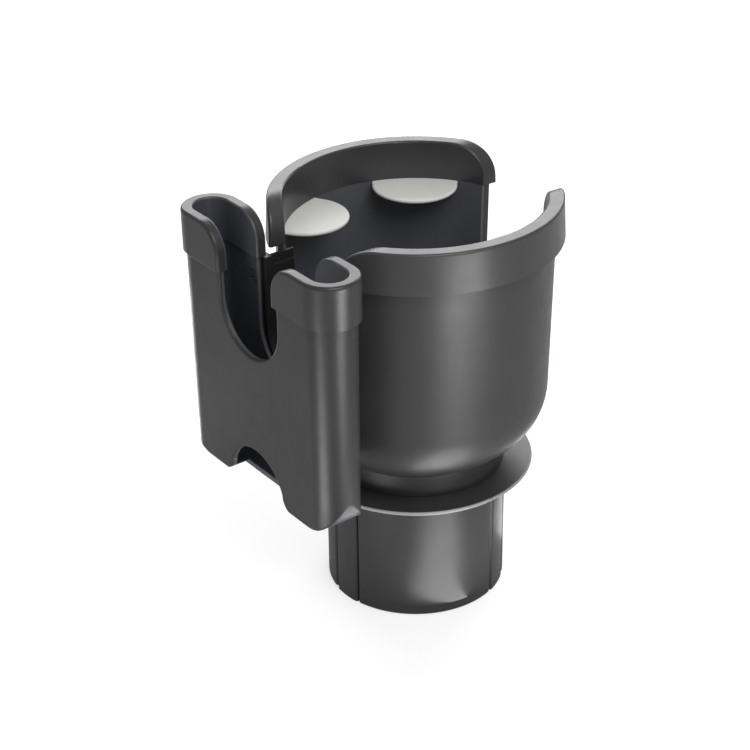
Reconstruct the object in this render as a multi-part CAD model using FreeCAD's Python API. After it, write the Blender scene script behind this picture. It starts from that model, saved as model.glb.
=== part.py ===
import FreeCAD, Part
import math
import os

V = FreeCAD.Vector

# All lengths are in millimetres and all angles in degrees.
# The origin is on the cup's axis, at the foot of the base, with +Z up.
# The phone pocket hangs on the -X side, where one of the two mug-handle slots is.

# Base plug and its expanding jaws
base_radius = 35.0
jaw_count = 3
jaw_azimuth = 240.5
jaw_angle = 97.2
jaw_wall = 2.6
jaw_edge_round = 1.2
post_edge_round = 1.2
jaw_travel = 6.0
jaw_floor_gap = 0.4
seam_gap = 0.5
inner_gap = 0.3
cover_thickness = 2.2

# Hub, deck and guide channels inside the base
hub_radius = 11.0
journal_radius = 9.0
deck_thickness = 2.6
deck_drop = 1.3
web_thickness = 5.0
channel_wall = 2.0
channel_shelf = 2.0
channel_reach = 28.5
tongue_width = 10.0
tongue_height = 12.8
tongue_start = 12.5
guide_gap = 0.3
pin_radius = 2.0
pin_start = 17.0
pin_gap = 0.2
cover_boss_radius = 3.4
cover_boss_place = 24.5
cover_boss_height = 16.0

# Adjusting disc with spiral cam slots
flange_radius = 45.4
flange_top = 54.0
flange_thickness = 1.5
flange_edge_round = 0.7
disc_plate_radius = 30.0
disc_plate_thickness = 4.9
disc_turn = 90.0
running_gap = 0.05
axial_play = 0.1

# Pivot fasteners
bolt_radius = 3.0
bolt_head_radius = 5.6
bolt_head_height = 3.2
bolt_socket_radius = 2.5
washer_radius = 8.6
washer_thickness = 1.0
nut_across_flats = 10.0
nut_height = 5.0
nut_pocket_radius = 7.4
nut_pocket_depth = 6.8
spring_washer_radius = 5.4
spring_washer_thickness = 1.4
spring_washer_split = 0.6
screw_radius = 1.5
screw_head_radius = 2.8
screw_head_height = 1.6
cover_screw_length = 10.0

# Cup bowl, liner and rim trims
cup_play = 0.2
wall_top = 160.6
wall_top_radius = 51.8
wall_draft = 1.0
wall_thickness = 2.2
bend_start = 87.0
bend_radius = 26.0
bend_turn = 54.0
neck_radius = 34.4
neck_wall = 2.2
bowl_floor_top = 64.2
bowl_floor_thickness = 2.6
boss_radius = 13.5
recess_radius = 9.6
recess_floor = 59.0
liner_thickness = 1.0
rim_proud = 2.4
rim_flare = 0.8
rim_top = 163.6
rim_height = 15.4
rim_edge_round = 1.0
rim_inner_edge_round = 0.8

# Mug-handle slots: the pocket's one on the -X side, and the free one opposite, which is turned a little
slot_half_width = 19.8
free_slot_half_width = 18.5
free_slot_turn = -3.0
slot_bottom = 100.0
slot_corner_round = 12.5
slot_edge_cover = 0.4

# Soft grip tabs under the rim
tab_azimuths = (52.5, 124.0, 236.0, 296.0)
tab_radius = 17.0
tab_neck = 2.0
tab_thickness = 1.5
tab_hinge_gap = 0.3
tab_side_gap = 0.5

# Phone pocket
pocket_width = 91.4
pocket_depth = 19.6
pocket_top = 163.5
pocket_bottom = 64.2
pocket_wall = 2.2
pocket_side_lean = 0.2
pocket_face_lean = 0.7
pocket_corner_round = 14.0
pocket_corner_play = 0.05
pocket_rim_height = 16.5
pocket_rim_out = 1.3
pocket_rim_in = 0.9
pocket_rim_cap = 1.6
pocket_rim_round = 1.2
pocket_rim_inner_round = 0.8
pocket_edge_round = 0.8
finger_slot_half_width = 16.5
finger_slot_bottom = 121.0
finger_slot_round = 11.0
back_slot_half_width = 17.6
notch_half_width = 16.0
notch_rise = 16.7
notch_shoulder = 5.7
notch_foot = 4.0
notch_foot_sag = 1.2
notch_foot_rise = 2.0
notch_depth = 8.5

# Bracket between pocket and cup
bracket_half_width = 26.0
bracket_thickness = 3.2
bracket_drop = 12.0
bracket_rim_gap = 0.6
bracket_edge_round = 1.0
bracket_step = 3.6
bracket_face_gap = 0.45
collar_side_gap = 0.5
collar_wall = 2.0
collar_seat_gap = 0.3
clip_thickness = 2.2
clip_gap = 0.35
clip_half_width = 25.0
clip_drop = 4.0
bracket_screw_side = 22.2
bracket_screw_foot = 7.0
bracket_screw_head = 8.4

# How far a cutting tool runs past what it cuts, the share of a wall that an edge's rounding may take,
# and how near two things are when they count as touching
cut_reach = 5.0
round_share = 0.45
tolerance = 0.01

# Heights and distances that follow from the sizes above
rim_radius = wall_top_radius + rim_proud
rim_bottom = rim_top - rim_height
flange_bottom = flange_top - flange_thickness
disc_bottom = flange_top - disc_plate_thickness
shoulder_top = disc_bottom - axial_play
cup_bottom = flange_top + cup_play
journal_top = cup_bottom - axial_play
jaw_top = flange_bottom - inner_gap
deck_top = shoulder_top - deck_drop
deck_bottom = deck_top - deck_thickness
tongue_top = deck_bottom - guide_gap
tongue_bottom = tongue_top - tongue_height
shelf_top = tongue_bottom - guide_gap
jaw_inner = base_radius - jaw_wall
core_radius = jaw_inner - inner_gap
pocket_rim_bottom = pocket_top - pocket_rim_height
rim_foot_radius = rim_radius + rim_flare
bracket_face = math.sqrt(rim_foot_radius ** 2 - slot_half_width ** 2) + bracket_face_gap
pocket_place = bracket_face + bracket_thickness + pocket_depth / 2
bracket_bottom = slot_bottom - bracket_drop
bracket_top = pocket_rim_bottom - bracket_rim_gap
bracket_screw_low = bracket_bottom + bracket_screw_foot
bracket_screw_high = bracket_top - bracket_screw_head


def turned(shape, angle):
    """Copy of a shape turned about the cup's axis."""
    copy = shape.copy()
    copy.rotate(V(0, 0, 0), V(0, 0, 1), angle)
    return copy


def cylinder(radius, bottom, top, x=0.0, y=0.0):
    return Part.makeCylinder(radius, top - bottom, V(x, y, bottom))


def box(x0, x1, y0, y1, z0, z1):
    return Part.makeBox(x1 - x0, y1 - y0, z1 - z0, V(x0, y0, z0))


def tube(outer, inner, bottom, top):
    return cylinder(outer, bottom, top).cut(cylinder(inner, bottom - 1, top + 1))


def line(a, b):
    return Part.LineSegment(a, b).toShape()


def arc(a, b, c):
    return Part.Arc(a, b, c).toShape()


def face(edges):
    return Part.Face(Part.Wire(edges))


def polar(radius, angle, z=0.0):
    turn = math.radians(angle)
    return V(radius * math.cos(turn), radius * math.sin(turn), z)


def sector(inner, outer, half_angle, bottom, top):
    """Piece of a ring, centred on +X."""
    out = [polar(outer, share * half_angle, bottom) for share in (-1, 0, 1)]
    back = [polar(inner, share * half_angle, bottom) for share in (1, 0, -1)]
    edges = [arc(*out), line(out[2], back[0]), arc(*back), line(back[2], out[0])]
    return face(edges).extrude(V(0, 0, top - bottom))


def revolved(edges):
    return face(edges).revolve(V(0, 0, 0), V(0, 0, 1), 360)


def middle(edge):
    """Point halfway along an edge."""
    first, last = edge.ParameterRange
    return edge.valueAt((first + last) / 2)


def edges_on(shape, sides, low, full_height):
    """Edges on any of some side faces, without the bottom ones and those that run the full height."""
    found = []
    for edge in shape.Edges:
        bounds = edge.BoundBox
        if bounds.ZMax < low + tolerance or bounds.ZLength > full_height - 1:
            continue
        point = Part.Vertex(middle(edge))
        if min(point.distToShape(side)[0] for side in sides) < tolerance:
            found.append(edge)
    return found


def softened_trims(ring, blocks, bottom, height, seat):
    """Two trims out of a slotted ring: edges rounded along each block's sides, then cut to fit their seat."""
    trims = []
    for trim in sorted(ring.Solids, key=lambda solid: -solid.CenterOfMass.y):
        for block, radius in blocks:
            sides = [side for side in block.Faces if side.BoundBox.ZLength > 1]
            trim = trim.makeFillet(radius, edges_on(trim, sides, bottom, height))
        trims.append(trim.cut(seat))
    return trims


def round_outer_corners(shell, radius):
    """Rounds the two upright outer edges of a piece of the base's wall."""
    corners = []
    for edge in shell.Edges:
        bounds = edge.BoundBox
        if bounds.ZLength > 1 and math.hypot(bounds.Center.x, bounds.Center.y) > base_radius - tolerance:
            corners.append(edge)
    return shell.makeFillet(radius, corners)


def jaw_angles():
    return [jaw_azimuth + 360.0 / jaw_count * index for index in range(jaw_count)]


def post_angles():
    return [angle + 180.0 / jaw_count for angle in jaw_angles()]


def post_half_angle():
    gap_angle = math.degrees(seam_gap / base_radius)
    return (360.0 / jaw_count - jaw_angle) / 2 - gap_angle


# Base

def guide_channel():
    """Open trough under the deck, in which one jaw's tongue slides."""
    inside = tongue_width / 2 + guide_gap
    outside = inside + channel_wall
    block = box(0, channel_reach, -outside, outside, shelf_top - channel_shelf, deck_top)
    space = box(hub_radius - 1, channel_reach + 1, -inside, inside, shelf_top, deck_bottom)
    return block.cut(space)


def pin_window():
    """Radial slot in the deck for one jaw's cam pin."""
    half = pin_radius + guide_gap
    start = pin_start
    end = pin_start + jaw_travel
    low = deck_bottom - 1
    high = deck_top + 1
    middle = box(start, end, -half, half, low, high)
    return middle.fuse([cylinder(half, low, high, start), cylinder(half, low, high, end)])


def make_base_core():
    floor = cover_thickness
    body = cylinder(core_radius - inner_gap, deck_bottom, deck_top)
    parts = [cylinder(hub_radius, floor, shoulder_top), cylinder(journal_radius, floor, journal_top)]
    for angle in jaw_angles():
        parts.append(turned(guide_channel(), angle))
    for angle in post_angles():
        post = sector(core_radius, base_radius, post_half_angle(), 0, jaw_top)
        limit = (base_radius - core_radius) * round_share
        post = round_outer_corners(post, min(post_edge_round, limit))
        web = box(0, core_radius + 1, -web_thickness / 2, web_thickness / 2, floor, deck_top)
        boss = cylinder(cover_boss_radius, floor, floor + cover_boss_height, cover_boss_place)
        parts.extend([turned(post, angle), turned(web, angle), turned(boss, angle)])
    body = body.fuse(parts)
    holes = [cylinder(bolt_radius + running_gap, -1, journal_top + 1),
             cylinder(nut_pocket_radius, -1, floor + nut_pocket_depth)]
    for angle in jaw_angles():
        holes.append(turned(pin_window(), angle))
    for angle in post_angles():
        hole = cylinder(screw_radius, floor - 1, floor + cover_screw_length, cover_boss_place)
        holes.append(turned(hole, angle))
    return body.cut(holes).removeSplitter()


def make_base_cover():
    plate = cylinder(core_radius - inner_gap, 0, cover_thickness)
    holes = []
    for angle in post_angles():
        holes.append(turned(cylinder(screw_radius, -1, cover_thickness + 1, cover_boss_place), angle))
        sink = cylinder(screw_head_radius + guide_gap, -1, screw_head_height, cover_boss_place)
        holes.append(turned(sink, angle))
    return plate.cut(holes)


def make_cover_screws():
    screws = []
    for angle in post_angles():
        bottom = inner_gap
        head = cylinder(screw_head_radius, bottom, screw_head_height, cover_boss_place)
        shank = cylinder(screw_radius, bottom, cover_screw_length, cover_boss_place)
        screws.append(turned(head.fuse(shank), angle))
    return Part.makeCompound(screws)


def make_pivot_bolt():
    head_bottom = recess_floor + axial_play + washer_thickness
    head = cylinder(bolt_head_radius, head_bottom, head_bottom + bolt_head_height)
    top_edges = [edge for edge in head.Edges if edge.BoundBox.ZMin > head_bottom + bolt_head_height - tolerance]
    head = head.makeFillet(bolt_head_height / 4, top_edges)
    driver = cylinder(bolt_socket_radius, head_bottom + bolt_head_height / 2,
                      head_bottom + bolt_head_height + 1)
    shank = cylinder(bolt_radius, cover_thickness + inner_gap, head_bottom + bolt_head_height / 4)
    return head.fuse(shank).cut(driver)


def make_pivot_washer():
    bottom = recess_floor + axial_play
    return tube(washer_radius, bolt_radius, bottom, bottom + washer_thickness)


def make_spring_washer():
    top = cover_thickness + nut_pocket_depth
    ring = tube(spring_washer_radius, bolt_radius, top - spring_washer_thickness, top)
    split = box(0, spring_washer_radius + 1, -spring_washer_split / 2, spring_washer_split / 2,
                top - spring_washer_thickness - 1, top + 1)
    return ring.cut(split)


def make_pivot_nut():
    top = cover_thickness + nut_pocket_depth - spring_washer_thickness
    corner = nut_across_flats / math.sqrt(3)
    points = [polar(corner, 60 * index, top - nut_height) for index in range(7)]
    prism = Part.Face(Part.makePolygon(points)).extrude(V(0, 0, nut_height))
    return prism.cut(cylinder(bolt_radius, top - nut_height - 1, top + 1))


# Jaws

def make_jaw():
    """One jaw in its closed place, centred on +X."""
    half = jaw_angle / 2
    shell = sector(jaw_inner, base_radius, half, jaw_floor_gap, jaw_top)
    shell = round_outer_corners(shell, min(jaw_edge_round, jaw_wall * round_share))
    tongue = box(tongue_start, jaw_inner + jaw_wall / 2, -tongue_width / 2, tongue_width / 2,
                 tongue_bottom, tongue_top)
    pin = cylinder(pin_radius, tongue_top - 1, flange_top - inner_gap, pin_start)
    return shell.fuse([tongue, pin]).removeSplitter()


# Adjusting disc

def cam_point(share, side):
    """Point beside the spiral's centre line; side is -1, 0 or 1."""
    turn = math.radians(-disc_turn * share)
    radius = pin_start + jaw_travel * share
    rate = -jaw_travel / math.radians(disc_turn)
    outward = V(math.cos(turn), math.sin(turn), 0)
    across = V(-outward.y, outward.x, 0)
    along = outward * rate + across * radius
    along.normalize()
    normal = V(along.y, -along.x, 0)
    return outward * radius + normal * (side * (pin_radius + pin_gap))


def cam_end(share, sign):
    """Tip of the slot's round end."""
    middle = cam_point(share, 0)
    side = cam_point(share, 1) - middle
    return middle + V(-side.y, side.x, 0) * sign


def cam_slot():
    steps = 8
    shares = [index / steps for index in range(steps + 1)]
    outer = Part.BSplineCurve()
    outer.interpolate([cam_point(share, 1) for share in shares])
    inner = Part.BSplineCurve()
    inner.interpolate([cam_point(share, -1) for share in shares])
    edges = [outer.toShape(),
             arc(cam_point(1, 1), cam_end(1, -1), cam_point(1, -1)),
             inner.toShape(),
             arc(cam_point(0, -1), cam_end(0, 1), cam_point(0, 1))]
    slot = face(Part.__sortEdges__(edges)).extrude(V(0, 0, disc_plate_thickness + 2))
    slot.translate(V(0, 0, disc_bottom - 1))
    return slot


def make_adjusting_disc():
    flange = cylinder(flange_radius, flange_bottom, flange_top)
    rims = [edge for edge in flange.Edges if edge.BoundBox.ZLength < tolerance]
    flange = flange.makeFillet(min(flange_edge_round, flange_thickness * round_share), rims)
    disc = flange.fuse(cylinder(disc_plate_radius, disc_bottom, flange_top))
    cuts = [cylinder(journal_radius + running_gap, disc_bottom - 1, flange_top + 1)]
    for angle in jaw_angles():
        cuts.append(turned(cam_slot(), angle))
    return disc.cut(cuts).removeSplitter()


# Cup

def wall_points(inset, top):
    """Corners of the bowl's side line at a distance inside its outer face, from the top down."""
    draft = math.radians(wall_draft)
    start_radius = wall_top_radius - math.tan(draft) * (wall_top - bend_start)
    centre = V(start_radius - bend_radius * math.cos(draft), 0, bend_start + bend_radius * math.sin(draft))
    radius = bend_radius - inset

    def on_bend(angle):
        turn = math.radians(angle)
        return centre + V(radius * math.cos(turn), 0, -radius * math.sin(turn))

    start = on_bend(wall_draft)
    middle = on_bend(wall_draft + bend_turn / 2)
    end = on_bend(wall_draft + bend_turn)
    high = V(start.x + math.tan(draft) * (top - start.z), 0, top)
    return high, start, middle, end


def slide_to_radius(point, radius):
    """Point where the line that leaves the bend meets a radius."""
    turn = math.radians(wall_draft + bend_turn)
    return V(radius, 0, point.z - (point.x - radius) / math.tan(turn))


def slide_to_height(point, height):
    """Point where the line that leaves the bend meets a height."""
    turn = math.radians(wall_draft + bend_turn)
    return V(point.x - (point.z - height) * math.tan(turn), 0, height)


def polyline(points):
    return [line(points[index], points[index + 1]) for index in range(len(points) - 1)]


def bowl_blank():
    """Bowl before its slots are cut."""
    high, start, middle, end = wall_points(0, wall_top)
    neck = slide_to_radius(end, neck_radius)
    in_high, in_start, in_middle, in_end = wall_points(wall_thickness, wall_top)
    in_floor = slide_to_height(in_end, bowl_floor_top)
    floor_under = bowl_floor_top - bowl_floor_thickness
    edges = [line(high, start), arc(start, middle, end)]
    corners = [end, neck, V(neck_radius, 0, cup_bottom), V(neck_radius - neck_wall, 0, cup_bottom),
               V(neck_radius - neck_wall, 0, floor_under), V(boss_radius, 0, floor_under),
               V(boss_radius, 0, cup_bottom), V(bolt_radius + running_gap, 0, cup_bottom),
               V(bolt_radius + running_gap, 0, recess_floor), V(recess_radius, 0, recess_floor),
               V(recess_radius, 0, bowl_floor_top), in_floor, in_end]
    edges.extend(polyline(corners))
    edges.extend([arc(in_end, in_middle, in_start), line(in_start, in_high), line(in_high, high)])
    return revolved(edges)


def slot_prism(half_width, bottom, top, corner, x0, x1, y=0.0):
    """Cutter for a U-shaped slot that opens at the top with rounded corners."""
    wide = half_width + corner
    above = top + cut_reach
    low = bottom + half_width
    lean = corner * (1 - math.sqrt(0.5))
    edges = [line(V(x0, y - wide, above), V(x0, y + wide, above)),
             line(V(x0, y + wide, above), V(x0, y + wide, top)),
             arc(V(x0, y + wide, top), V(x0, y + half_width + lean, top - lean),
                 V(x0, y + half_width, top - corner)),
             line(V(x0, y + half_width, top - corner), V(x0, y + half_width, low)),
             arc(V(x0, y + half_width, low), V(x0, y, bottom), V(x0, y - half_width, low)),
             line(V(x0, y - half_width, low), V(x0, y - half_width, top - corner)),
             arc(V(x0, y - half_width, top - corner), V(x0, y - half_width - lean, top - lean),
                 V(x0, y - wide, top)),
             line(V(x0, y - wide, top), V(x0, y - wide, above))]
    return face(edges).extrude(V(x1 - x0, 0, 0))


def handle_slots(widening, top):
    """Cutters for the pocket's slot and for the free one opposite."""
    reach = rim_foot_radius + cut_reach
    corner = slot_corner_round - widening
    pocket_slot = slot_prism(slot_half_width + widening, slot_bottom, top, corner, -reach, 0)
    free_slot = slot_prism(free_slot_half_width + widening, slot_bottom, top, corner, 0, reach)
    return [pocket_slot, turned(free_slot, free_slot_turn)]


def make_cup_bowl():
    return bowl_blank().cut(handle_slots(slot_edge_cover, wall_top))


def make_cup_liner():
    high, start, middle, end = wall_points(wall_thickness, rim_bottom)
    in_high, in_start, in_middle, in_end = wall_points(wall_thickness + liner_thickness, rim_bottom)
    floor = slide_to_height(end, bowl_floor_top)
    in_floor = slide_to_height(in_end, bowl_floor_top + liner_thickness)
    edges = [line(high, start), arc(start, middle, end)]
    corners = [end, floor, V(0, 0, bowl_floor_top), V(0, 0, bowl_floor_top + liner_thickness),
               in_floor, in_end]
    edges.extend(polyline(corners))
    edges.extend([arc(in_end, in_middle, in_start), line(in_start, in_high), line(in_high, high)])
    cuts = handle_slots(slot_edge_cover, wall_top)
    for angle in tab_azimuths:
        cuts.append(turned(tab_root_blank(), angle))
    return revolved(edges).cut(cuts)


def liner_face_radius():
    """Radius of the liner's inner face under the rim."""
    return wall_points(wall_thickness + liner_thickness, rim_bottom)[0].x


def make_cup_rims(bowl):
    """The two trims, the one on the +Y side first."""
    inner_radius = liner_face_radius()
    limit = (rim_radius - inner_radius) * round_share
    outer = Part.makeCone(rim_foot_radius, rim_radius, rim_height, V(0, 0, rim_bottom))
    inner = cylinder(inner_radius, rim_bottom - 1, rim_top + 1)
    ring = outer.cut([inner] + handle_slots(0.0, rim_top))
    blocks = [(outer, min(rim_edge_round, limit)), (inner, min(rim_inner_edge_round, limit))]
    return softened_trims(ring, blocks, rim_bottom, rim_height, bowl)


# Grip tabs

def tab_chord():
    """Distance from the cup's axis to the line along which a tab bends."""
    return math.sqrt(liner_face_radius() ** 2 - tab_radius ** 2)


def tab_root_blank():
    """Clamped edge of one tab, from its bending line to the bowl's wall, centred on +X."""
    outer = wall_points(wall_thickness, rim_bottom - tab_thickness)[0].x
    disc = cylinder(outer, rim_bottom - tab_thickness, rim_bottom)
    keep = box(tab_chord(), outer + 1, -tab_radius, tab_radius, rim_bottom - tab_thickness, rim_bottom)
    return disc.common(keep)


def make_tab_leaf():
    """Free half-disc of one tab with its short neck, centred on +X."""
    chord = tab_chord()
    radius = tab_radius - tab_side_gap
    bottom = rim_bottom - tab_thickness
    disc = cylinder(radius, bottom, rim_bottom, chord - tab_neck)
    tip = disc.common(box(chord - 2 * tab_radius, chord - tab_neck, -radius, radius, bottom, rim_bottom))
    neck = box(chord - tab_neck, chord - tab_hinge_gap, -radius, radius, bottom, rim_bottom)
    return tip.fuse(neck).removeSplitter()


# Phone pocket

def pocket_outline(offset, z):
    """Long outline with round ends, smaller towards the floor by the draft."""
    fall = (pocket_top - z) / (pocket_top - pocket_bottom)
    width = pocket_width - 2 * pocket_side_lean * fall
    depth = pocket_depth - 2 * pocket_face_lean * fall
    half = (width - depth) / 2
    radius = depth / 2 + offset
    x = -pocket_place
    edges = [line(V(x - radius, -half, z), V(x - radius, half, z)),
             arc(V(x - radius, half, z), V(x, half + radius, z), V(x + radius, half, z)),
             line(V(x + radius, half, z), V(x + radius, -half, z)),
             arc(V(x + radius, -half, z), V(x, -half - radius, z), V(x - radius, -half, z))]
    return Part.Wire(edges)


def pocket_block(offset, bottom, top):
    return Part.makeLoft([pocket_outline(offset, bottom), pocket_outline(offset, top)], True, True)


def corner_cutters(inset):
    """What is cut away to round the two lower corners."""
    low = pocket_bottom + inset
    radius = pocket_corner_round - inset
    fall = (pocket_top - pocket_bottom - pocket_corner_round) / (pocket_top - pocket_bottom)
    half = pocket_width / 2 - pocket_side_lean * fall - inset + pocket_corner_play
    x0 = -pocket_place - pocket_depth
    x1 = -pocket_place + pocket_depth
    cutters = []
    for side in (-1, 1):
        inner = side * (half - radius)
        outer = side * (half + cut_reach)
        block = box(x0, x1, min(inner, outer), max(inner, outer), low - cut_reach,
                    low + radius)
        round_part = Part.makeCylinder(radius, x1 - x0, V(x0, inner, low + radius), V(1, 0, 0))
        cutters.append(block.cut(round_part))
    return cutters


def cable_notch():
    """Bell-shaped notch through the front wall and part of the floor."""
    low = pocket_bottom - cut_reach
    foot = notch_half_width + notch_foot
    shoulder = pocket_bottom + notch_shoulder
    foot_top = pocket_bottom + notch_foot_rise
    x0 = -pocket_place - pocket_depth
    x1 = -pocket_place - pocket_depth / 2 + notch_depth
    edges = [line(V(x0, -foot, low), V(x0, foot, low)),
             line(V(x0, foot, low), V(x0, foot, pocket_bottom)),
             arc(V(x0, foot, pocket_bottom), V(x0, notch_half_width + notch_foot_sag, foot_top),
                 V(x0, notch_half_width, shoulder)),
             arc(V(x0, notch_half_width, shoulder), V(x0, 0, pocket_bottom + notch_rise),
                 V(x0, -notch_half_width, shoulder)),
             arc(V(x0, -notch_half_width, shoulder), V(x0, -notch_half_width - notch_foot_sag, foot_top),
                 V(x0, -foot, pocket_bottom)),
             line(V(x0, -foot, pocket_bottom), V(x0, -foot, low))]
    return face(edges).extrude(V(x1 - x0, 0, 0))


def pocket_slots(cover, top):
    """Cutters for the front finger slot and the back slot."""
    front = slot_prism(finger_slot_half_width + cover, finger_slot_bottom - cover, top,
                       finger_slot_round - cover, -pocket_place - pocket_depth, -pocket_place)
    back = slot_prism(back_slot_half_width + cover, collar_floor(), top,
                      finger_slot_round - cover, -pocket_place, -pocket_place + pocket_depth)
    return [front, back]


def pocket_blank():
    outer = pocket_block(0, pocket_bottom, pocket_top - pocket_rim_cap).cut(corner_cutters(0))
    inner = pocket_block(-pocket_wall, pocket_bottom + pocket_wall, pocket_top + 1)
    inner = inner.cut(corner_cutters(pocket_wall))
    return outer.cut(inner)


def pocket_shell_uncut():
    slots = pocket_slots(pocket_rim_out, pocket_top - pocket_rim_cap)
    return pocket_blank().cut(slots + [cable_notch()])


def soften_front(shell):
    """Rounds the edges of the front wall: around the finger slot, the cable notch and the foot."""
    block = pocket_block(0, pocket_bottom, pocket_top)
    front = [side for side in block.Faces if side.BoundBox.ZLength > 1
             and side.BoundBox.XMax < -pocket_place - pocket_depth / 4]
    height = pocket_top - pocket_rim_cap - pocket_bottom - pocket_corner_round
    edges = edges_on(shell, front, 0, height)
    return shell.makeFillet(min(pocket_edge_round, pocket_wall * round_share), edges)


def make_pocket_shell():
    holes = []
    for y, z in bracket_screw_places():
        shaft = Part.makeCylinder(screw_radius, pocket_depth, V(-pocket_place, y, z), V(1, 0, 0))
        holes.append(shaft)
        holes.append(screw_head(y, z, guide_gap))
    return soften_front(pocket_shell_uncut()).cut(holes)


def make_pocket_rims(shell):
    """The two trims, the one on the +Y side first."""
    outer = pocket_block(pocket_rim_out, pocket_rim_bottom, pocket_top)
    inner = pocket_block(-pocket_wall - pocket_rim_in, pocket_rim_bottom - 1, pocket_top + 1)
    limit = (pocket_rim_out + pocket_wall + pocket_rim_in) * round_share
    ring = outer.cut([inner] + pocket_slots(0.0, pocket_top))
    blocks = [(outer, min(pocket_rim_round, limit)), (inner, min(pocket_rim_inner_round, limit))]
    return softened_trims(ring, blocks, pocket_rim_bottom, pocket_rim_height, shell)


# Bracket

def collar_half():
    return slot_half_width - collar_side_gap


def collar_floor():
    """Height of the lowest point of the passage through the collar."""
    return slot_bottom + collar_seat_gap + collar_wall


def bracket_screw_places():
    places = []
    for z in (bracket_screw_low, bracket_screw_high):
        places.append((-bracket_screw_side, z))
        places.append((bracket_screw_side, z))
    return places


def back_wall_face(z):
    """X of the pocket's back wall, on its inner side."""
    fall = (pocket_top - z) / (pocket_top - pocket_bottom)
    return -pocket_place + pocket_depth / 2 - pocket_face_lean * fall - pocket_wall


def screw_head(y, z, gap):
    """Countersunk head with its wide end at the inner side of the back wall."""
    start = back_wall_face(z)
    return Part.makeCone(screw_head_radius + gap, screw_radius, screw_head_height + gap / 2,
                         V(start - gap / 10, y, z), V(1, 0, 0))


def wall_core(inset, bottom, top):
    """Solid that fills the bowl's inside up to a distance from its outer face."""
    low = wall_points(inset, bottom)[0]
    high = wall_points(inset, top)[0]
    points = [V(0, 0, bottom), low, high, V(0, 0, top), V(0, 0, bottom)]
    return revolved(polyline(points))


def wall_ring(outer_inset, inner_inset, bottom, top):
    """Ring that follows the bowl's side between two distances inside its outer face."""
    return wall_core(outer_inset, bottom, top).cut(wall_core(inner_inset, bottom - 1, top + 1))


def make_bracket():
    plate_x = -bracket_face
    plate = box(-pocket_place, plate_x, -bracket_half_width, bracket_half_width, bracket_bottom, bracket_top)
    half = collar_half()
    clip_inset = wall_thickness + liner_thickness + clip_gap
    low = slot_bottom + collar_seat_gap
    above = 2 * pocket_top
    neck = slot_prism(half, low, above, bracket_edge_round, plate_x - bracket_thickness / 2, -neck_radius)
    clip = wall_ring(clip_inset, clip_inset + clip_thickness, low - clip_drop, bracket_top - bracket_step)
    clip = clip.common(box(-rim_radius, 0, -clip_half_width, clip_half_width, 0, rim_top))
    neck = neck.cut(wall_core(clip_inset + clip_thickness, slot_bottom, 2 * above))
    body = plate.fuse([neck, clip])
    passage = half - collar_wall
    cuts = [slot_prism(passage, collar_floor(), above, bracket_edge_round, -pocket_place - 1, 0),
            box(-pocket_place - pocket_depth, 0, -pocket_width, pocket_width, bracket_top, 2 * above),
            box(plate_x, 0, -half + collar_wall / 2, half - collar_wall / 2, bracket_top - bracket_step,
                2 * above),
            pocket_block(0, pocket_bottom - 1, pocket_top + 1)]
    for y, z in bracket_screw_places():
        cuts.append(Part.makeCylinder(screw_radius, pocket_depth, V(-pocket_place, y, z), V(1, 0, 0)))
    return body.cut(cuts).removeSplitter()


def make_bracket_screws():
    screws = []
    for y, z in bracket_screw_places():
        start = back_wall_face(z)
        shank = Part.makeCylinder(screw_radius, -bracket_face - inner_gap - start, V(start, y, z), V(1, 0, 0))
        screws.append(shank.fuse(screw_head(y, z, 0.0)))
    return Part.makeCompound(screws)


def export(name, shape):
    for solid in shape.Solids:
        if not solid.isValid():
            raise ValueError(name + " is not a valid solid")
    shape.exportStep(os.path.join("parts", name + ".step"))
    print(name, len(shape.Solids), round(shape.Volume, 1))


def main():
    os.makedirs("parts", exist_ok=True)
    export("base_core", make_base_core())
    export("base_cover", make_base_cover())
    export("cover_screws", make_cover_screws())
    export("pivot_bolt", make_pivot_bolt())
    export("pivot_washer", make_pivot_washer())
    export("spring_washer", make_spring_washer())
    export("pivot_nut", make_pivot_nut())
    for number, angle in enumerate(jaw_angles(), 1):
        export("expanding_jaw_%d" % number, turned(make_jaw(), angle))
    export("adjusting_disc", make_adjusting_disc())
    bowl = make_cup_bowl()
    export("cup_bowl", bowl)
    export("cup_liner", make_cup_liner())
    rim_back, rim_front = make_cup_rims(bowl)
    export("cup_rim_back", rim_back)
    export("cup_rim_front", rim_front)
    for number, angle in enumerate(tab_azimuths, 1):
        export("grip_tab_root_%d" % number, turned(tab_root_blank(), angle))
        export("grip_tab_leaf_%d" % number, turned(make_tab_leaf(), angle))
    export("pocket_shell", make_pocket_shell())
    rim_left, rim_right = make_pocket_rims(pocket_shell_uncut())
    export("pocket_rim_left", rim_left)
    export("pocket_rim_right", rim_right)
    export("pocket_bracket", make_bracket())
    export("bracket_screws", make_bracket_screws())


main()
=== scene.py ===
import math

import bmesh
import bpy
from mathutils import Matrix, Vector


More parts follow.
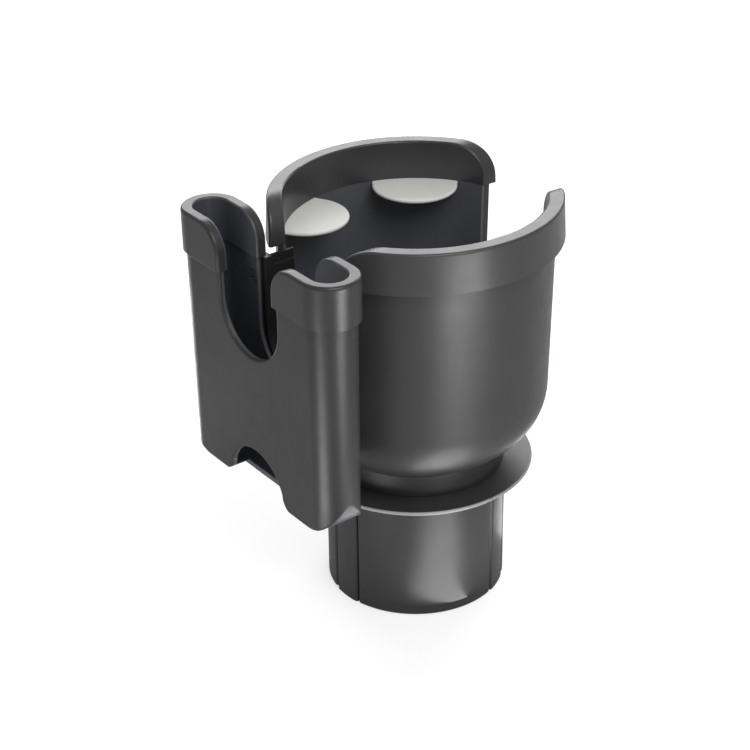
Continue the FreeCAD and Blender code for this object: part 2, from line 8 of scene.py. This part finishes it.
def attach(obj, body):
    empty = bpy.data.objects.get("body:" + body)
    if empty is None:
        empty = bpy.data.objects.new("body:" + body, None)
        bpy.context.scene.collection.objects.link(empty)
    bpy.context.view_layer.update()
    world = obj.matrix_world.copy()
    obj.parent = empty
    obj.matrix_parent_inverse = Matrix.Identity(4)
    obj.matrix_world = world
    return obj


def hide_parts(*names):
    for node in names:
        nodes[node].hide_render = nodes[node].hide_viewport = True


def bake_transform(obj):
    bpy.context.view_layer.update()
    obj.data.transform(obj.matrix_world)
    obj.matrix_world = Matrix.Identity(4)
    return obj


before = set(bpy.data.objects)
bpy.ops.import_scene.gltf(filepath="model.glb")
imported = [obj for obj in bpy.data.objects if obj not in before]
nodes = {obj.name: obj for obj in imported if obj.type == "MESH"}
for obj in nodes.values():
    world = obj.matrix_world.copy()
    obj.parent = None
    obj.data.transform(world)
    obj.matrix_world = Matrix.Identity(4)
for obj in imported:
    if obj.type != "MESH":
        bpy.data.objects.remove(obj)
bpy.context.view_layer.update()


# Materials

pocket_centre_x = -0.06476
pocket_end_y = 0.0359
# Blue-grey tone of the pocket's inner faces, lighter than its plastic: painted light on the shaded inside,
# with a blue tint
pocket_inside_painted_light = (0.072, 0.076, 0.088)
tone_blur = 0.0001


def material(name, slot_color):
    """New material with one Principled shader; the slot colour is what a plain viewer shows."""
    mat = bpy.data.materials.new(name)
    mat.use_nodes = True
    mat.diffuse_color = (*slot_color, 1)
    tree = mat.node_tree
    tree.nodes.clear()
    out = tree.nodes.new("ShaderNodeOutputMaterial")
    shader = tree.nodes.new("ShaderNodeBsdfPrincipled")
    tree.links.new(shader.outputs[0], out.inputs[0])
    return mat, tree, shader


def node(tree, kind, **values):
    """New shader node, with values for its inputs or its settings by name."""
    made = tree.nodes.new(kind)
    for key, value in values.items():
        if key in made.inputs:
            made.inputs[key].default_value = value
        else:
            setattr(made, key, value)
    return made


def object_coords(tree):
    return tree.nodes.new("ShaderNodeTexCoord").outputs["Object"]


def noise(tree, coords, scale, detail, rough):
    made = node(tree, "ShaderNodeTexNoise", Scale=scale, Detail=detail, Roughness=rough)
    tree.links.new(coords, made.inputs["Vector"])
    return made.outputs["Fac"]


def spread(tree, value, low, high, from_low=0.0, from_high=1.0):
    """Maps a value from one range to another."""
    made = tree.nodes.new("ShaderNodeMapRange")
    made.inputs["From Min"].default_value = from_low
    made.inputs["From Max"].default_value = from_high
    made.inputs["To Min"].default_value = low
    made.inputs["To Max"].default_value = high
    tree.links.new(value, made.inputs["Value"])
    return made.outputs["Result"]


def maths(tree, operation, first, second=None):
    """Sum, product or the like of two values, of which each may be a socket or a number."""
    made = node(tree, "ShaderNodeMath", operation=operation)
    for index, value in enumerate((first, second)):
        if isinstance(value, (int, float)):
            made.inputs[index].default_value = value
        elif value is not None:
            tree.links.new(value, made.inputs[index])
    return made.outputs[0]


def two_tones(tree, factor, first, second):
    """Mix of two colours, of which each may be a socket or three numbers."""
    made = tree.nodes.new("ShaderNodeMix")
    made.data_type = "RGBA"
    for key, colour in (("A", first), ("B", second)):
        if isinstance(colour, tuple):
            made.inputs[key].default_value = (*colour, 1)
        else:
            tree.links.new(colour, made.inputs[key])
    tree.links.new(factor, made.inputs["Factor"])
    return made.outputs["Result"]


def grain_bump(tree, shader, height, strength, distance, normal=None):
    """Bumps a shader's normal by a height, on top of another normal where one is given."""
    bump = node(tree, "ShaderNodeBump", Strength=strength, Distance=distance)
    tree.links.new(height, bump.inputs["Height"])
    if normal is not None:
        tree.links.new(normal, bump.inputs["Normal"])
    tree.links.new(bump.outputs[0], shader.inputs["Normal"])


def grey(value):
    """Grey with a trace of blue."""
    return (value, value, value + 0.0006)


def moulded(name, dark, light, rough_low, rough_high, grain, edge=0.0002, specular=0.5):
    """Satin moulded plastic: fine spark-eroded grain, faint flow clouds and softened edges."""
    mat, tree, shader = material(name, light)
    coords = object_coords(tree)
    clouds = noise(tree, coords, 38.0, 3.0, 0.55)
    fine = noise(tree, coords, 2600.0, 2.0, 0.6)
    handling = noise(tree, coords, 120.0, 4.0, 0.6)
    tree.links.new(two_tones(tree, spread(tree, clouds, 0, 1, 0.3, 0.7), dark, light),
                   shader.inputs["Base Color"])
    tree.links.new(spread(tree, handling, rough_low, rough_high, 0.3, 0.7), shader.inputs["Roughness"])
    shader.inputs["Specular IOR Level"].default_value = specular
    bevel = node(tree, "ShaderNodeBevel", samples=4, Radius=edge)
    grain_bump(tree, shader, fine, grain, 0.00004, bevel.outputs[0])
    return mat


def lay_over(mat, share, tone):
    """Lays a tone over a material's base colour, as far as a share says."""
    tree = mat.node_tree
    base = tree.nodes["Principled BSDF"].inputs["Base Color"]
    tree.links.new(two_tones(tree, share, base.links[0].from_socket, tone), base)


def inside_painted_light(mat, reach):
    """Lays a lighter blue-grey tone on the pocket's inner faces, nearer than a reach to its middle line:
    painted light, with a blue tint.
    """
    tree = mat.node_tree
    split = tree.nodes.new("ShaderNodeSeparateXYZ")
    tree.links.new(object_coords(tree), split.inputs[0])
    across = maths(tree, "SUBTRACT", split.outputs["X"], pocket_centre_x)
    past_end = maths(tree, "SUBTRACT", maths(tree, "ABSOLUTE", split.outputs["Y"]), pocket_end_y)
    beyond = maths(tree, "MAXIMUM", past_end, 0.0)
    squares = maths(tree, "ADD", maths(tree, "MULTIPLY", across, across),
                    maths(tree, "MULTIPLY", beyond, beyond))
    away = maths(tree, "SQRT", squares)
    lay_over(mat, spread(tree, away, 1, 0, reach - tone_blur, reach + tone_blur), pocket_inside_painted_light)


def painted_edge_highlight(mat, start, end, light):
    """Lightens a turned piece beyond a radius about its axis, a painted highlight along its outer edge."""
    tree = mat.node_tree
    flat = node(tree, "ShaderNodeVectorMath", operation="MULTIPLY")
    flat.inputs[1].default_value = (1, 1, 0)
    length = node(tree, "ShaderNodeVectorMath", operation="LENGTH")
    tree.links.new(object_coords(tree), flat.inputs[0])
    tree.links.new(flat.outputs["Vector"], length.inputs[0])
    lay_over(mat, spread(tree, length.outputs["Value"], 0, 1, start, end), light)


def rubber():
    """Pale silicone with a faint dust bloom."""
    mat, tree, shader = material("tab_silicone", (0.55, 0.55, 0.53))
    coords = object_coords(tree)
    clouds = noise(tree, coords, 90.0, 3.0, 0.6)
    fine = noise(tree, coords, 1800.0, 2.0, 0.5)
    tree.links.new(two_tones(tree, clouds, (0.68, 0.68, 0.65), (0.76, 0.76, 0.735)),
                   shader.inputs["Base Color"])
    tree.links.new(spread(tree, clouds, 0.5, 0.62), shader.inputs["Roughness"])
    shader.inputs["Subsurface Weight"].default_value = 0.12
    shader.inputs["Subsurface Radius"].default_value = (0.002, 0.002, 0.0018)
    shader.inputs["Subsurface Scale"].default_value = 0.5
    grain_bump(tree, shader, fine, 0.25, 0.00005)
    return mat


def metal(name, dark, light):
    """Bare or plated metal with fine scratches."""
    mat, tree, shader = material(name, light)
    scratches = noise(tree, object_coords(tree), 900.0, 3.0, 0.7)
    tree.links.new(two_tones(tree, scratches, dark, light), shader.inputs["Base Color"])
    shader.inputs["Metallic"].default_value = 1.0
    tree.links.new(spread(tree, scratches, 0.25, 0.42), shader.inputs["Roughness"])
    return mat


body_mat = moulded("body_satin_grey", grey(0.036), grey(0.042), 0.36, 0.44, 0.35)
cup_mat = moulded("cup_satin_grey", grey(0.029), grey(0.034), 0.36, 0.44, 0.35)
rim_mat = moulded("rim_satin_grey", grey(0.038), grey(0.044), 0.30, 0.37, 0.25)
bracket_mat = moulded("bracket_black", (0.012, 0.012, 0.013), (0.017, 0.017, 0.018), 0.34, 0.45, 0.4)
# The liner's blue-grey tone is lighter than the body plastic: partly its own blue tint, partly painted light
# on the cup's shaded inside
liner_mat = moulded("liner_blue_grey_painted_light", (0.076, 0.080, 0.091), (0.090, 0.094, 0.106), 0.5, 0.62, 0.6)
# The pocket's shell is a darker copy of the body plastic: painted shade
pocket_mat = moulded("pocket_satin_grey_painted_shade", grey(0.024), grey(0.028), 0.36, 0.44, 0.35,
                     edge=0.0009, specular=0.4)
# Painted light: the shell's inner faces get the lighter blue-grey tone
inside_painted_light(pocket_mat, 0.0085)
# The pocket's trims are a darker copy of the rim plastic: painted shade
pocket_rim_mat = moulded("pocket_rim_grey_painted_shade", grey(0.029), grey(0.034), 0.30, 0.37, 0.25, specular=0.42)
# Painted light: the trims' inner faces get the lighter blue-grey tone
inside_painted_light(pocket_rim_mat, 0.0074)
disc_mat = moulded("disc_satin_grey", grey(0.036), grey(0.042), 0.34, 0.42, 0.3)
# Painted highlight: a light grey ring along the disc's outer edge
painted_edge_highlight(disc_mat, 0.04475, 0.04515, (0.30, 0.30, 0.305))
tab_mat = rubber()
steel_mat = metal("plated_steel", (0.42, 0.42, 0.43), (0.60, 0.60, 0.60))
black_steel_mat = moulded("blackened_steel", (0.050, 0.053, 0.061), (0.064, 0.068, 0.078), 0.42, 0.5, 0.2)

finish_of = {
    "cup_bowl": cup_mat, "cup_liner": liner_mat,
    "cup_rim_back": rim_mat, "cup_rim_front": rim_mat,
    "pocket_rim_left": pocket_rim_mat, "pocket_rim_right": pocket_rim_mat,
    "pocket_bracket": bracket_mat, "pocket_shell": pocket_mat, "adjusting_disc": disc_mat,
    "cover_screws": steel_mat, "pivot_bolt": steel_mat, "pivot_washer": steel_mat,
    "spring_washer": steel_mat, "pivot_nut": steel_mat, "bracket_screws": black_steel_mat,
}
for name, obj in nodes.items():
    mat = tab_mat if name.startswith("grip_tab") else finish_of.get(name, body_mat)
    obj.data.materials.clear()
    obj.data.materials.append(mat)


# Soft grip tabs

tab_azimuths = (52.5, 124.0, 236.0, 296.0)
tab_half_width = 0.0165
tab_fold = 0.0453
tab_neck = 0.002
tab_centre = tab_fold - tab_neck
tab_top = 0.1482
tab_half_thick = 0.00075
tab_sag = 0.0004
tab_steps = 32
root_radius = 0.0491
root_half_width = 0.0169


def tab_stations():
    """Radial places of the tab's cross sections with their half widths, from tip to root."""
    tip_steps, neck_steps, root_steps = 18, 10, 8
    found = []
    for step in range(tip_steps + 1):
        reach = tab_half_width * math.sin(math.pi / 2 * (1 - step / tip_steps))
        found.append((tab_centre - reach, math.sqrt(max(tab_half_width ** 2 - reach ** 2, 0))))
    wall_start = math.sqrt(root_radius ** 2 - root_half_width ** 2)
    for step in range(1, neck_steps + 1):
        share = step / neck_steps
        found.append((tab_centre + (wall_start - tab_centre) * share,
                      tab_half_width + (root_half_width - tab_half_width) * share ** 2))
    for step in range(1, root_steps + 1):
        x = wall_start + (root_radius - wall_start) * math.sin(math.pi / 2 * step / root_steps)
        found.append((x, math.sqrt(max(root_radius ** 2 - x ** 2, 0))))
    return found


def tab_thickness(x, y, half_width):
    """Half thickness, which runs out in a rounded edge."""
    if x < tab_centre:
        inside = tab_half_width - math.hypot(x - tab_centre, y)
    else:
        inside = min(half_width - abs(y), root_radius - math.hypot(x, y))
    share = min(max(inside, 0) / tab_half_thick, 1)
    return tab_half_thick * math.sqrt(1 - (1 - share) ** 2)


def make_tab(number, azimuth):
    """One silicone tab in a single piece, which droops a little beyond where it leaves the wall."""
    turn = math.radians(azimuth)
    out = Vector((math.cos(turn), math.sin(turn), 0))
    side = Vector((-out.y, out.x, 0))
    middle = tab_top - tab_half_thick
    bm = bmesh.new()
    layers = []
    for sign in (1, -1):
        rows = []
        for x, half_width in tab_stations():
            sag = tab_sag * (max(tab_fold - x, 0) / (2 * tab_half_width)) ** 2
            row = []
            for step in range(tab_steps + 1):
                y = half_width * math.sin(math.pi / 2 * (2 * step / tab_steps - 1))
                height = middle + sign * tab_thickness(x, y, half_width) - sag
                row.append(bm.verts.new(out * x + side * y + Vector((0, 0, height))))
            rows.append(row)
        layers.append(rows)
    for sign, rows in zip((1, -1), layers):
        for low_row, high_row in zip(rows, rows[1:]):
            for step in range(tab_steps):
                quad = [low_row[step], high_row[step], high_row[step + 1], low_row[step + 1]]
                bm.faces.new(quad if sign > 0 else quad[::-1])
    bmesh.ops.remove_doubles(bm, verts=bm.verts, dist=0.000002)
    bmesh.ops.dissolve_degenerate(bm, edges=bm.edges, dist=0.000001)
    obj = mesh_object("soft_tab_%d" % number, bm)
    obj.data.shade_smooth()
    obj.data.materials.append(tab_mat)
    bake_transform(obj)
    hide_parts("grip_tab_root_%d" % number, "grip_tab_leaf_%d" % number)


def mesh_object(name, bm):
    """Turns a bmesh into an object with outward normals."""
    bmesh.ops.recalc_face_normals(bm, faces=bm.faces)
    mesh = bpy.data.meshes.new(name)
    bm.to_mesh(mesh)
    bm.free()
    obj = bpy.data.objects.new(name, mesh)
    bpy.context.scene.collection.objects.link(obj)
    return obj


for tab_number, tab_azimuth in enumerate(tab_azimuths, 1):
    make_tab(tab_number, tab_azimuth)


# Screws with a cross recess and thread ridges

screw_radius = 0.0015
thread_pitch = 0.0007
cross_arm = 0.0015
cross_width = 0.00036
cross_depth = 0.0010

sunk_head = [(0.00150, -0.00160), (0.00272, -0.00012), (0.00278, -0.00005), (0.00275, 0.0), (0.0, 0.0)]
pan_head = [(0.00150, -0.00128), (0.00262, -0.00128), (0.00276, -0.00112), (0.00276, -0.00060),
            (0.00262, -0.00028), (0.00228, -0.00010), (0.00160, -0.00001), (0.0, 0.0)]


def lathe(bm, profile, steps=48):
    """Adds a turned solid about +Z whose profile runs from axis to axis as (radius, height)."""
    rings = []
    for radius, height in profile:
        if radius < 1e-7:
            rings.append([bm.verts.new((0, 0, height))])
        else:
            rings.append([bm.verts.new((radius * math.cos(2 * math.pi * k / steps),
                                        radius * math.sin(2 * math.pi * k / steps), height))
                          for k in range(steps)])
    for low_ring, high_ring in zip(rings, rings[1:]):
        for k in range(steps):
            m = (k + 1) % steps
            quad = [low_ring[k % len(low_ring)], low_ring[m % len(low_ring)],
                    high_ring[m % len(high_ring)], high_ring[k % len(high_ring)]]
            bm.faces.new(list(dict.fromkeys(quad)))


def cross_cutter():
    """Tapered cross that points down into a head whose top is at height 0."""
    bm = bmesh.new()
    for long_x, long_y in ((cross_arm, cross_width), (cross_width, cross_arm)):
        corners = []
        for share, height in ((0.55, -cross_depth), (1.15, cross_depth * 0.3)):
            for sx, sy in ((-1, -1), (1, -1), (1, 1), (-1, 1)):
                corners.append(bm.verts.new((sx * long_x * share, sy * long_y * (0.7 + 0.3 * share), height)))
        for face in ((0, 1, 2, 3), (4, 5, 6, 7), (0, 1, 5, 4), (1, 2, 6, 5), (2, 3, 7, 6), (3, 0, 4, 7)):
            bm.faces.new([corners[k] for k in face])
    return mesh_object("cutter", bm)


def shank(start, end):
    """Profile of a threaded shank, from its tip up to the head."""
    points = [(0.0, start), (screw_radius * 0.55, start + thread_pitch)]
    height = start + 1.5 * thread_pitch
    while height < end - thread_pitch:
        points.extend([(screw_radius * 0.78, height), (screw_radius * 0.98, height + thread_pitch * 0.4),
                       (screw_radius * 0.78, height + thread_pitch * 0.8)])
        height += thread_pitch
    return points + [(screw_radius * 0.85, end)]


def screw_shape(start, end, head):
    """Mesh of one screw that points down -Z, its head's top at height 0."""
    bm = bmesh.new()
    lathe(bm, shank(start, end) + head)
    body = mesh_object("screw", bm)
    cutter = cross_cutter()
    modifier = body.modifiers.new("recess", "BOOLEAN")
    modifier.operation = "DIFFERENCE"
    modifier.solver = "EXACT"
    modifier.use_self = True
    modifier.object = cutter
    graph = bpy.context.evaluated_depsgraph_get()
    mesh = bpy.data.meshes.new_from_object(body.evaluated_get(graph))
    bpy.data.objects.remove(body)
    bpy.data.objects.remove(cutter)
    return mesh


def place_screws(name, node_name, mesh, places, body, mat):
    """Joins one screw's copies, each given by a matrix, into the piece that replaces a node."""
    bm = bmesh.new()
    for matrix in places:
        start = len(bm.verts)
        bm.from_mesh(mesh)
        bm.verts.ensure_lookup_table()
        bmesh.ops.transform(bm, matrix=matrix, verts=bm.verts[start:])
    obj = mesh_object(name, bm)
    obj.data.materials.append(mat)
    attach(obj, body)
    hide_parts(node_name)


sunk_y = 0.0222
sunk_levels = ((-0.05762, 0.0950), (-0.05731, 0.1380))
sunk_places = []
for screw_y in (-sunk_y, sunk_y):
    for screw_x, screw_z in sunk_levels:
        sunk_places.append(Matrix.Translation((screw_x, screw_y, screw_z))
                           @ Matrix.Rotation(math.radians(-90), 4, "Y")
                           @ Matrix.Rotation(math.radians(20 * len(sunk_places)), 4, "Z"))
place_screws("bracket_screws_detailed", "bracket_screws", screw_shape(-0.00760, -0.00170, sunk_head),
             sunk_places, "pocket", black_steel_mat)

pan_circle = 0.0245
pan_height = 0.0003
pan_places = []
for post_angle in (60.5, 180.5, 300.5):
    turn = math.radians(post_angle)
    place = Vector((pan_circle * math.cos(turn), pan_circle * math.sin(turn), pan_height))
    pan_places.append(Matrix.Translation(place) @ Matrix.Rotation(math.pi, 4, "X")
                      @ Matrix.Rotation(math.radians(post_angle * 3 + 11), 4, "Z"))
place_screws("cover_screws_detailed", "cover_screws", screw_shape(-0.00970, -0.00135, pan_head),
             pan_places, "base", steel_mat)


# Floor, lights and camera

floor_half = 3.0
floor_glow = 0.56
world_light = 0.43
card_height = 0.004
view_target = Vector((0, 0, 0.08))
view_distance = 0.73376


def direction(azimuth, elevation):
    """Way from the object to a place that lies at two angles, 0 azimuth being -Y."""
    a, e = math.radians(azimuth), math.radians(elevation)
    return Vector((math.sin(a) * math.cos(e), -math.cos(a) * math.cos(e), math.sin(e)))


def point_at(obj, place, target):
    obj.location = place
    obj.rotation_mode = "QUATERNION"
    obj.rotation_quaternion = (target - place).to_track_quat("-Z", "Y")


def area_light(name, width, height, strength):
    """Rectangular light whose power follows from its size and its surface's strength."""
    light = bpy.data.lights.new(name, "AREA")
    light.shape = "RECTANGLE"
    light.size = width
    light.size_y = height
    light.energy = strength * width * height * math.pi
    obj = bpy.data.objects.new(name, light)
    bpy.context.scene.collection.objects.link(obj)
    return obj


def panel(name, azimuth, elevation, distance, width, height, strength):
    """Soft box that shines at the object from a direction."""
    obj = area_light(name, width, height, strength)
    point_at(obj, view_target + direction(azimuth, elevation) * distance, view_target)


def card(name, near, far, width, strength):
    """Bright strip that lies on the floor and faces up, which the upright walls mirror."""
    near, far = Vector((*near, card_height)), Vector((*far, card_height))
    run = far - near
    obj = area_light(name, run.length, width, strength)
    obj.location = (near + far) / 2
    obj.rotation_euler = (math.pi, 0, math.atan2(run.y, run.x))
    obj.visible_camera = False


def camera_switch(tree, others, seen, out):
    """Sends one shader to the camera's own rays and another one to all other rays."""
    pick = tree.nodes.new("ShaderNodeMixShader")
    path = tree.nodes.new("ShaderNodeLightPath")
    tree.links.new(path.outputs["Is Camera Ray"], pick.inputs[0])
    tree.links.new(others.outputs[0], pick.inputs[1])
    tree.links.new(seen.outputs[0], pick.inputs[2])
    tree.links.new(pick.outputs[0], out.inputs[0])


def make_floor():
    """Pale floor whose glow, which only the camera sees, whitens the picture's ground."""
    mesh = bpy.data.meshes.new("floor")
    corners = [(x * floor_half, y * floor_half, 0) for x, y in ((-1, -1), (1, -1), (1, 1), (-1, 1))]
    mesh.from_pydata(corners, [], [(0, 1, 2, 3)])
    obj = bpy.data.objects.new("floor", mesh)
    bpy.context.scene.collection.objects.link(obj)
    mat, tree, shader = material("floor_white", (0.9, 0.9, 0.9))
    shader.inputs["Base Color"].default_value = (0.6, 0.6, 0.6, 1)
    shader.inputs["Roughness"].default_value = 0.9
    glow = node(tree, "ShaderNodeEmission", Strength=floor_glow)
    both = tree.nodes.new("ShaderNodeAddShader")
    tree.links.new(shader.outputs[0], both.inputs[0])
    tree.links.new(glow.outputs[0], both.inputs[1])
    camera_switch(tree, shader, both, tree.nodes["Material Output"])
    mesh.materials.append(mat)


def make_world():
    """White surroundings that light the object less than the camera sees."""
    world = bpy.data.worlds.new("studio")
    bpy.context.scene.world = world
    world.use_nodes = True
    tree = world.node_tree
    tree.nodes.clear()
    out = tree.nodes.new("ShaderNodeOutputWorld")
    sky = node(tree, "ShaderNodeBackground", Color=(1, 1, 1, 1), Strength=world_light)
    seen = node(tree, "ShaderNodeBackground", Color=(1, 1, 1, 1), Strength=1.0)
    camera_switch(tree, sky, seen, out)


def make_camera():
    """The photo's camera."""
    data = bpy.data.cameras.new("camera")
    data.sensor_width = 36.0
    data.lens = 91.57
    data.shift_x = -0.0542
    data.shift_y = 0.0223
    data.clip_start = 0.05
    data.clip_end = 20.0
    obj = bpy.data.objects.new("camera", data)
    bpy.context.scene.collection.objects.link(obj)
    point_at(obj, view_target + direction(-38.0, 29.46) * view_distance, view_target)
    bpy.context.scene.camera = obj


make_floor()
make_world()
card("foot_card", (-0.0176, -0.0340), (-0.0174, -0.060), 0.032, 4.1)
card("near_card", (-0.0168, -0.060), (-0.0155, -0.124), 0.050, 4.4)
card("post_card", (0.044, -0.022), (0.105, 0.012), 0.03, 2.4)
card("bowl_card", (-0.047, -0.245), (-0.060, -0.345), 0.08, 13.2)
card("rim_card", (-0.005, -0.310), (0.005, -0.460), 0.16, 11.6)
card("pocket_card", (-0.150, -0.052), (-0.290, -0.075), 0.075, 8.4)
card("edge_card", (-0.060, 0.130), (-0.052, 0.300), 0.06, 7.5)
panel("front_top", -10, 52, 0.9, 0.5, 0.5, 5.0)
panel("top_back", 142, 30, 1.0, 1.3, 0.5, 3.8)
make_camera()
bpy.context.scene.view_settings.view_transform = "Standard"
